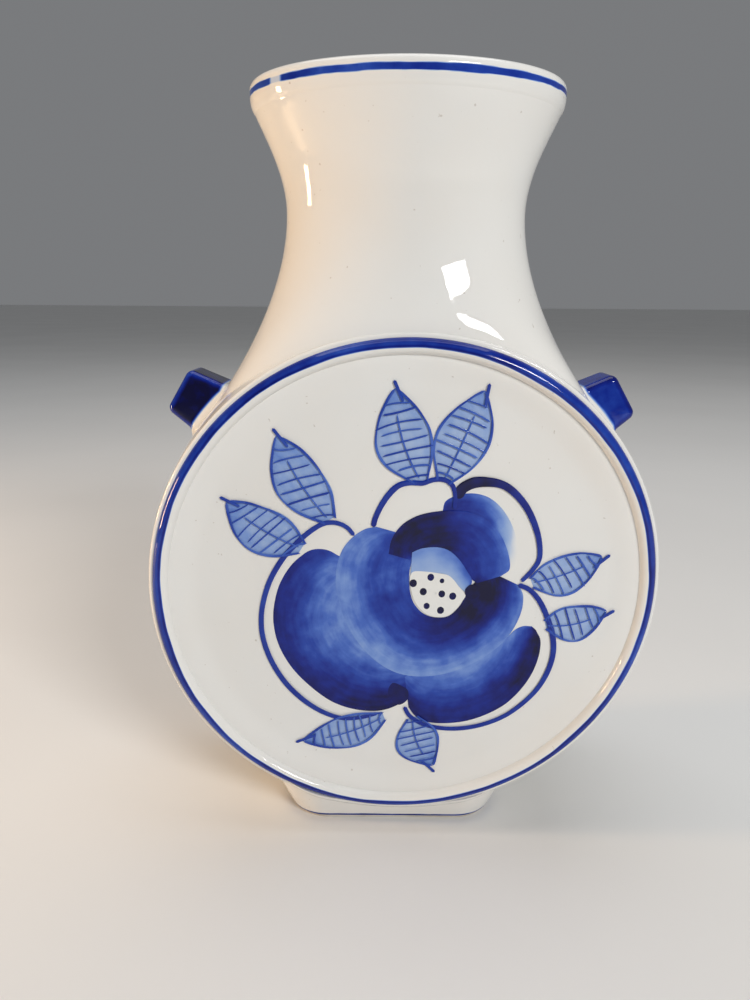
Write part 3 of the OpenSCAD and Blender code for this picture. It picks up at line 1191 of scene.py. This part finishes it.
@dataclass
class Painting:
    """Traditional rose with eight hatched leaves, in strokes of cobalt on the front face."""

    drum: Drum
    steps: int = 150
    hatch_w: float = 0.52
    leaves: tuple[Leaf, ...] = (
        Leaf((5.0, 37.0), (-3.5, 66.0), 17.0, -2.0, 9, 4.0, 61),
        Leaf((12.0, 37.0), (24.0, 65.5), 16.0, 0.4, 9, 0.0, 62),
        Leaf((-24.0, 24.0), (-40.5, 51.0), 15.5, -1.6, 8, 14.0, 63, 0.24),
        Leaf((-33.0, 14.5), (-57.0, 29.5), 15.5, -2.0, 8, 16.0, 64, 0.24),
        Leaf((42.0, 3.0), (64.5, 12.0), 13.5, 1.6, 7, -10.0, 65),
        Leaf((47.5, -12.0), (67.5, -7.0), 12.5, 1.8, 6, -6.0, 66),
        Leaf((-6.0, -46.5), (-34.0, -56.5), 12.0, -1.8, 9, 8.0, 67, 0.22),
        Leaf((4.0, -47.0), (11.5, -66.0), 14.5, 2.0, 7, 6.0, 68, 0.22),
    )

    def curve(self, *points: Point, steps: int = 0) -> Array:
        """Edge of a stroke through given points."""
        return flowing(points, steps or self.steps)

    def build_petals(self, brush: Brush) -> bpy.types.Object:
        """The loaded petal strokes, the furthest one first.

        Each is a patch between an outer and an inner edge, graded from loaded to dry.
        """
        casting = Casting("rose_petals")
        brush.wash(casting,
                   self.curve((12, 27), (13, 30.5), (17, 32.5), (22, 33), (27, 31.5),
                              (31.5, 27.5), (35, 21.5), (37, 14), (36.5, 8)),
                   self.curve((12, 24), (15, 24.5), (19, 24), (23, 22), (26, 19), (28, 15),
                              (29, 11), (29, 8), (28.5, 5)),
                   ((0.66, 0.62, 0.36, 0.14, 0.00, 0.00), (0.74, 0.74, 0.56, 0.32, 0.10, 0.0),
                    (0.80, 0.80, 0.70, 0.52, 0.34, 0.2), (0.84, 0.84, 0.80, 0.70, 0.6, 0.5)),
                   1)
        brush.wash(casting,
                   self.curve((-21, 12), (-25, 14), (-29.5, 14), (-33, 12), (-37, 8),
                              (-40.5, 2), (-42.5, -5), (-43, -12), (-41.5, -20), (-37.5, -28),
                              (-31.5, -35), (-24, -41), (-16, -44), (-8, -44.5), (-2, -42.5),
                              (1.5, -39.5)),
                   self.curve((-18, 11), (-19, 8), (-20, 4), (-20, -1), (-19.5, -6),
                              (-18, -11), (-15.5, -15.5), (-12, -19.5), (-8, -23),
                              (-3.5, -26), (0.5, -29), (4, -33)),
                   ((0.62, 0.80, 0.84, 0.86, 0.84, 0.86, 0.90, 0.98, 0.97),
                    (0.52, 0.66, 0.70, 0.66, 0.64, 0.70, 0.80, 0.90, 0.92),
                    (0.40, 0.44, 0.46, 0.42, 0.42, 0.48, 0.56, 0.66, 0.80),
                    (0.34, 0.36, 0.36, 0.34, 0.34, 0.36, 0.40, 0.46, 0.66)),
                   2)
        brush.wash(casting,
                   self.curve((-9, 22), (-13, 21), (-17, 18), (-20, 14), (-21.8, 8),
                              (-22, 1), (-20.5, -6), (-18, -13), (-14, -19.5), (-8.5, -25.5),
                              (-2, -29.5), (5, -31), (12, -30.5), (19, -28.5), (25, -25.5),
                              (31, -21), (36, -15), (39, -8), (39.5, -2), (38, 2)),
                   self.curve((9, 17), (5, 14.5), (3, 11.5), (2, 8), (1.8, 4), (2.2, 0),
                              (3.5, -4), (6.5, -7.5), (10.5, -9), (15, -8.5), (18.5, -5),
                              (20.5, -1), (23, 3), (26, 5.5), (29, 6.5)),
                   ((0.46, 0.36, 0.33, 0.34, 0.33, 0.30, 0.30, 0.32, 0.34, 0.38, 0.34),
                    (0.50, 0.42, 0.40, 0.44, 0.40, 0.36, 0.40, 0.44, 0.48, 0.60, 0.62),
                    (0.72, 0.60, 0.62, 0.72, 0.60, 0.58, 0.66, 0.76, 0.86, 0.92, 0.88),
                    (0.92, 0.66, 0.60, 0.66, 0.62, 0.70, 0.88, 0.96, 0.98, 0.98, 0.96),
                    (0.94, 0.60, 0.54, 0.58, 0.66, 0.80, 0.92, 0.97, 0.98, 0.98, 0.97)),
                   3, rows=48)
        brush.wash(casting,
                   self.curve((-5, 13), (-4, 18), (-1, 22.5), (3.5, 25.5), (9, 27), (15, 27.5),
                              (20.5, 27), (26, 24.5), (30.5, 20), (33.5, 14), (34.5, 8),
                              (32, 5.5)),
                   self.curve((2, 11), (3, 13), (5, 14.3), (8, 15), (11.5, 15), (14.5, 14),
                              (17, 12), (19, 9.5), (20.5, 7), (22, 4.5), (24, 3)),
                   ((0.94, 0.97, 0.98, 0.92, 0.70, 0.62, 0.50, 0.42, 0.44),
                    (0.92, 0.97, 0.98, 0.97, 0.80, 0.72, 0.66, 0.58, 0.60),
                    (0.80, 0.96, 0.98, 0.98, 0.92, 0.80, 0.76, 0.72, 0.76),
                    (0.70, 0.94, 0.96, 0.96, 0.95, 0.86, 0.80, 0.80, 0.88)),
                   4, rows=30)
        brush.wash(casting,
                   self.curve((2.5, -43), (5, -46.5), (9.5, -48.8), (15, -49.3), (22, -48.5),
                              (29, -46), (35.5, -42), (40.5, -36.5), (44, -30.5), (46, -24),
                              (46.3, -18), (44.5, -14)),
                   self.curve((1, -31), (6, -29), (13, -28), (19.5, -27),
                              (25.5, -24), (30.5, -20.5), (34.5, -17), (37.2, -14),
                              (40, -12.5), (43, -12.6)),
                   ((0.93, 0.90, 0.86, 0.84, 0.88, 0.92, 0.97, 0.98),
                    (0.86, 0.78, 0.74, 0.76, 0.84, 0.90, 0.95, 0.97),
                    (0.62, 0.52, 0.48, 0.50, 0.54, 0.58, 0.62, 0.86),
                    (0.50, 0.38, 0.36, 0.34, 0.34, 0.36, 0.40, 0.52)),
                   2.5)
        return casting.cast(sheet=True)

    def build_heart(self, brush: Brush) -> bpy.types.Object:
        """Heart of the rose: bare glaze with eight seeds, a pale crescent and dark dabs."""
        casting = Casting("rose_heart")
        brush.wash(casting,
                   self.curve((2.6, 13.6), (6, 15), (11, 15.3), (14.8, 14), (18, 11),
                              (20.5, 7.3), (22.3, 3.8), (21, 0), steps=60),
                   self.curve((2.2, 5.5), (5, 6.8), (10, 6.7), (14, 6), (16.5, 4), (18, 2),
                              (20, 0), (20.3, -1.5), steps=60),
                   ((0.34, 0.36, 0.44, 0.60, 0.50), (0.22, 0.22, 0.26, 0.34, 0.30),
                    (0.20, 0.18, 0.16, 0.16, 0.20)), 6, rows=12)
        heart = flowing(((2, 5), (3, 7), (6, 7.2), (11, 6.6), (14.5, 5.8), (16.5, 4),
                         (18, 2), (20.3, -0.8), (19.5, -3), (17.5, -6), (14.5, -8.4),
                         (10.5, -8.8), (6.8, -7.2), (3.8, -3.5), (2.4, 1)), 90, closed=True)
        brush.blot(casting, heart[:-1], 0.0, 7, rings=8)
        turn = np.linspace(0.0, TURN, 18, endpoint=False)
        for x, z, size, lean in ((8.7, 5.0, 1.1, 60), (12.5, 3.8, 0.75, 100),
                                 (3.3, 3.0, 1.2, 150), (6.4, 0.0, 1.15, 70),
                                 (12.5, -0.8, 1.1, 80), (16.2, -1.6, 1.15, 110),
                                 (7.6, -5.0, 1.0, 60), (12.3, -6.6, 1.15, 95)):
            pear = size * (1.0 + 0.16 * np.cos(turn - math.radians(lean)))
            seed = np.stack([x + pear * np.cos(turn), z + 1.12 * pear * np.sin(turn)], -1)
            brush.blot(casting, seed, 0.97, 8)
        drop = flowing(((20.3, -1), (20.2, 1), (21.8, 2.6), (24, 2.2), (25.2, 0.2), (24, -2),
                        (21.8, -2.4)), 40, closed=True)
        brush.blot(casting, drop[:-1], 1.0, 9)
        knot = flowing(((-3, -33.5), (0, -34.6), (2.2, -36.5), (2, -40), (-1, -42), (-4, -39),
                        (-4.5, -36)), 40, closed=True)
        brush.blot(casting, knot[:-1], 0.93, 3.5)
        return casting.cast(sheet=True)

    def build_outlines(self, brush: Brush) -> bpy.types.Object:
        """The four free lines round the petals, thick and thin as the brush was pressed."""
        casting = Casting("rose_outlines")
        lines = (
            (((-16, 19), (-18.5, 21.8), (-22, 23.2), (-26, 22.8), (-30.5, 20), (-35, 15.8),
              (-39.5, 10.5), (-43.5, 3.5), (-46, -4), (-47, -11), (-46.5, -18), (-44, -26),
              (-39.5, -34), (-33.5, -40.5), (-27, -45), (-20.5, -47.3), (-14, -47),
              (-8, -45.2)),
             (1.3, 1.7, 1.8, 1.7, 1.8, 1.9, 1.7, 1.3), (0.66, 0.70, 0.66, 0.68, 0.70, 0.68)),
            (((-10, 22), (-9.3, 25), (-7.5, 29), (-5, 32.8), (-2, 35.6), (1.5, 36.5),
              (5.5, 36.4), (9, 37.5), (12.5, 37.4), (15, 35.5), (16, 32), (15.8, 28)),
             (1.7, 1.8, 2.0, 1.7, 1.6, 1.5, 1.3), (0.76, 0.72, 0.68, 0.70, 0.74)),
            (((16.6, 31.5), (18, 34.5), (21.5, 36.5), (26, 36.8), (30.5, 36), (34.5, 33.5),
              (38.5, 29), (41.5, 23.5), (43.5, 17.5), (44, 11.5), (42, 7.5), (38.5, 3.5)),
             (3.4, 3.6, 2.6, 2.3, 2.1, 1.8, 1.6, 1.4), (0.97, 0.96, 0.80, 0.74, 0.70, 0.68)),
            (((37.5, 2.5), (41.5, 0.5), (45, -3.5), (48, -9.5), (50.2, -16), (50.8, -22.5),
              (49.5, -29), (46.5, -35.5), (42, -41), (36, -46), (29, -49.3), (21.5, -51),
              (14, -51), (7.5, -49.3), (3, -46.2), (1, -42.5)),
             (1.6, 1.8, 1.9, 1.8, 1.6, 1.6, 1.7, 1.6, 1.4), (0.72, 0.70, 0.68, 0.70, 0.72)),
        )
        for points, widths, tones in lines:
            path = flowing(points, 160)
            along = np.linspace(0.0, 1.0, len(path))
            width = np.interp(along, np.linspace(0.0, 1.0, len(widths)), widths)
            tone = np.interp(along, np.linspace(0.0, 1.0, len(tones)), tones)
            brush.ribbon(casting, path, width, tone, 10)
        return casting.cast(sheet=True)

    def build_leaves(self, brush: Brush) -> tuple[bpy.types.Object, bpy.types.Object]:
        """Pale washes of the leaves, and the fine lines drawn over them."""
        washes, lines = Casting("leaf_washes"), Casting("leaf_lines")
        for leaf in self.leaves:
            self.paint_leaf(leaf, brush, washes, lines)
        return washes.cast(sheet=True), lines.cast(sheet=True)

    def paint_leaf(self, leaf: Leaf, brush: Brush, washes: Casting, lines: Casting) -> None:
        """One leaf: a wash between its two sides, their outlines, a rib and hatching.

        The half width swells from the tip and ends blunt at the base, as a smooth curve
        through a few shares of the leaf's width; the rib bends as a parabola.

        Args:
            leaf: The leaf's place and size.
            brush: The brush.
            washes: Where the wash goes.
            lines: Where the lines go.
        """
        chance = np.random.default_rng(leaf.seed)
        tip, base = np.array(leaf.tip), np.array(leaf.base)
        length = float(np.linalg.norm(base - tip))
        way = (base - tip) / length
        side = np.array([-way[1], way[0]])
        swell = flowing(((0.0, 0.0), (0.10, 0.34), (0.28, 0.76), (0.52, 1.0), (0.76, 0.84),
                         (1.0, 0.26)), 200)

        def spot(share: Any, out: Any) -> Array:
            """Point at a share of the length from the tip, out by a share of the width."""
            share, out = np.asarray(share, float), np.asarray(out, float)
            half = np.interp(share, swell[:, 0], swell[:, 1]) * leaf.width / 2.0
            off = out * half + leaf.bend * 4.0 * share * (1.0 - share)
            return tip + share[..., None] * length * way + off[..., None] * side

        share = np.linspace(0.0, 1.0, 40)
        brush.wash(washes, spot(share, 1.03 + 0.05 * np.sin(9.0 * share + leaf.seed)),
                   spot(share, -1.02 + 0.05 * np.cos(8.0 * share + leaf.seed)),
                   ((leaf.tone + 0.14, leaf.tone + 0.02, leaf.tone, leaf.tone + 0.02),
                    (leaf.tone + 0.12, leaf.tone - 0.03, leaf.tone - 0.05, leaf.tone - 0.02),
                    (leaf.tone + 0.14, leaf.tone + 0.03, leaf.tone, leaf.tone + 0.02)),
                   1, rows=9)
        for edge, begin in ((1.0, 0.0), (-1.0, 0.0)):
            reach = np.linspace(begin, 1.02, 44)
            path = spot(reach, edge * (1.0 + 0.05 * np.sin(6.0 * reach + leaf.seed + edge)))
            wide = 0.55 + 0.35 * np.abs(np.sin(5.0 * reach + leaf.seed))
            brush.ribbon(lines, path, wide, 0.54 + 0.08 * np.sin(7.0 * reach), 11)
        tick = np.stack([mix(tip - 2.6 * way + 0.3 * side, spot(0.16, 0.55), t)
                         for t in np.linspace(0.0, 1.0, 14)])
        brush.ribbon(lines, tick, np.linspace(1.1, 0.9, 14), np.linspace(0.66, 0.60, 14), 12)
        rib = spot(np.linspace(0.26, 0.97, 26), 0.06 * chance.uniform(-1, 1))
        brush.ribbon(lines, rib, np.full(26, self.hatch_w), np.full(26, 0.50), 12)
        rows = np.linspace(0.14, 0.93, leaf.hatches) + chance.uniform(-0.012, 0.012,
                                                                      leaf.hatches)
        slope = math.tan(math.radians(leaf.tilt)) * leaf.width / 2.0 / length
        for row in rows:
            left, right = chance.uniform(0.78, 1.10), chance.uniform(0.78, 1.10)
            out = np.linspace(-left, right, 16)
            skew = slope + chance.uniform(-0.012, 0.012)
            bow = chance.uniform(-0.012, 0.03)
            path = spot(row + skew * out + bow * out**2, out)
            wide = self.hatch_w * chance.uniform(0.85, 1.3)
            brush.ribbon(lines, path, np.full(16, wide), np.full(16, chance.uniform(0.46, 0.66)),
                         13)


# ---------------------------------------------------------------- the studio


@dataclass
class Studio:
    """Floor, soft lights and camera round the vase."""

    drum: Drum
    lens: float = 27.2
    stand_off: float = 266.0
    eye: float = 92.8
    aside: float = -9.5
    pitch: float = -15.0
    roll: float = 0.4
    floor_half: float = 15000.0
    sky: Colour = (0.80, 0.82, 0.85)
    sky_strength: float = 0.24

    def place_camera(self) -> None:
        """Looks at the vase from close in front and a little above, as a held camera does."""
        data = bpy.data.cameras.new("camera")
        data.lens, data.sensor_width = self.lens, 36.0
        data.clip_start, data.clip_end = 0.01, 50.0
        camera = bpy.data.objects.new("camera", data)
        bpy.context.scene.collection.objects.link(camera)
        spot = Vector((self.aside, -self.stand_off, self.drum.centre + self.eye)) * MM
        tilt = Matrix.Rotation(math.radians(90.0 + self.pitch), 4, "X")
        twist = Matrix.Rotation(math.radians(self.roll), 4, "Z")
        camera.matrix_world = Matrix.Translation(spot) @ tilt @ twist
        bpy.context.scene.camera = camera

    def place_light(self, name: str, spot: Point, height: float, size: Point, power: float,
                    tint: Colour) -> None:
        """Hangs a rectangular soft light that faces the middle of the vase.

        Args:
            name: The light's name.
            spot: Place on the floor plan, in metres.
            height: Height of its middle, in metres.
            size: Width and height, in metres.
            power: Power in watts.
            tint: Colour.
        """
        data = bpy.data.lights.new(name, "AREA")
        data.shape, data.size, data.size_y = "RECTANGLE", size[0], size[1]
        data.energy, data.color = power, tint
        lamp = bpy.data.objects.new(name, data)
        lamp.location = (spot[0], spot[1], height)
        aim = Vector((0.0, 0.0, self.drum.centre * MM)) - lamp.location
        lamp.rotation_euler = aim.to_track_quat("-Z", "Y").to_euler()
        bpy.context.scene.collection.objects.link(lamp)

    def build(self, ground: bpy.types.Material) -> None:
        """Makes the floor, the lights and the plain surroundings."""
        half = self.floor_half
        corners = np.array([[[-half, -half, 0.0], [half, -half, 0.0]],
                            [[-half, half, 0.0], [half, half, 0.0]]])
        mesh_piece = Casting("floor").add(corners).cast()
        mesh_piece.data.materials.append(ground)
        self.place_light("window", (0.79, -1.31), 0.94, (0.50, 0.24), 16.5, (1.0, 0.995, 0.985))
        self.place_light("warm_side", (-0.80, -0.05), 0.17, (0.07, 0.22), 4.0,
                         (1.0, 0.66, 0.36))
        self.place_light("overhead", (0.0, 0.2), 1.8, (1.6, 1.2), 12.5, (1.0, 1.0, 1.0))
        world = bpy.data.worlds.new("surroundings")
        world.use_nodes = True
        back = world.node_tree.nodes["Background"]
        back.inputs["Color"].default_value = (*self.sky, 1.0)
        back.inputs["Strength"].default_value = self.sky_strength
        bpy.context.scene.world = world
        bpy.context.scene.view_settings.view_transform = "Standard"


def main() -> None:
    """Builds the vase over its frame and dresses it."""
    logging.basicConfig(level=logging.INFO, format="%(name)s %(message)s")
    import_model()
    drum = Drum()
    studio = Studio(drum)
    studio.place_camera()
    porcelain = Glaze("porcelain_glaze").make()
    lines = Glaze("line_glaze", mottle=0.12, streaks=0.06).make()
    washes = Glaze("wash_glaze", mottle=0.16, streaks=0.13).make()
    blocks = Glaze("lug_glaze", mottle=0.16).make()
    settle(drum.build_wall(), porcelain, Slot.PORCELAIN, "side_wall")
    settle(drum.build_face(Side.FRONT), porcelain, Slot.PAINTED_FACE, "front_face")
    settle(drum.build_face(Side.BACK), porcelain, Slot.PORCELAIN, "back_face")
    settle(drum.build_bead(Side.FRONT), lines, Slot.COBALT_BEAD, "front_bead")
    settle(drum.build_bead(Side.BACK), lines, Slot.COBALT_BEAD, "back_bead")
    neck = Neck(drum)
    settle(neck.build_neck(), porcelain, Slot.PORCELAIN, "neck")
    settle(neck.build_lip(), lines, Slot.PORCELAIN, "lip")
    # The left lug is painted deeper than the right one, as painted shade on the side away from the main
    # lamp, and its edges lighter, as a painted highlight.
    left, right = Lug(Side.LEFT, drum, proud=13.2, tone=1.0, edge_light_gain=-0.28), Lug(Side.RIGHT, drum)
    settle(left.build(), blocks, Slot.COBALT_LUG, "lug_left")
    settle(right.build(), blocks, Slot.COBALT_LUG, "lug_right")
    foot = Foot(drum)
    settle(foot.build_skirt(), lines, Slot.PORCELAIN, "foot")
    settle(foot.build_ring(), BareClay().make(), Slot.BARE_CLAY, "stand_ring")
    painting, brush = Painting(drum), Brush(drum)
    settle(painting.build_petals(brush), washes, Slot.PAINTED_FACE)
    settle(painting.build_heart(brush), lines, Slot.PAINTED_FACE)
    settle(painting.build_outlines(brush), lines, Slot.PAINTED_FACE)
    leaf_washes, leaf_lines = painting.build_leaves(brush)
    settle(leaf_washes, washes, Slot.PAINTED_FACE)
    settle(leaf_lines, lines, Slot.PAINTED_FACE)
    studio.build(StudioFloor().make())


if __name__ == "__main__":
    main()
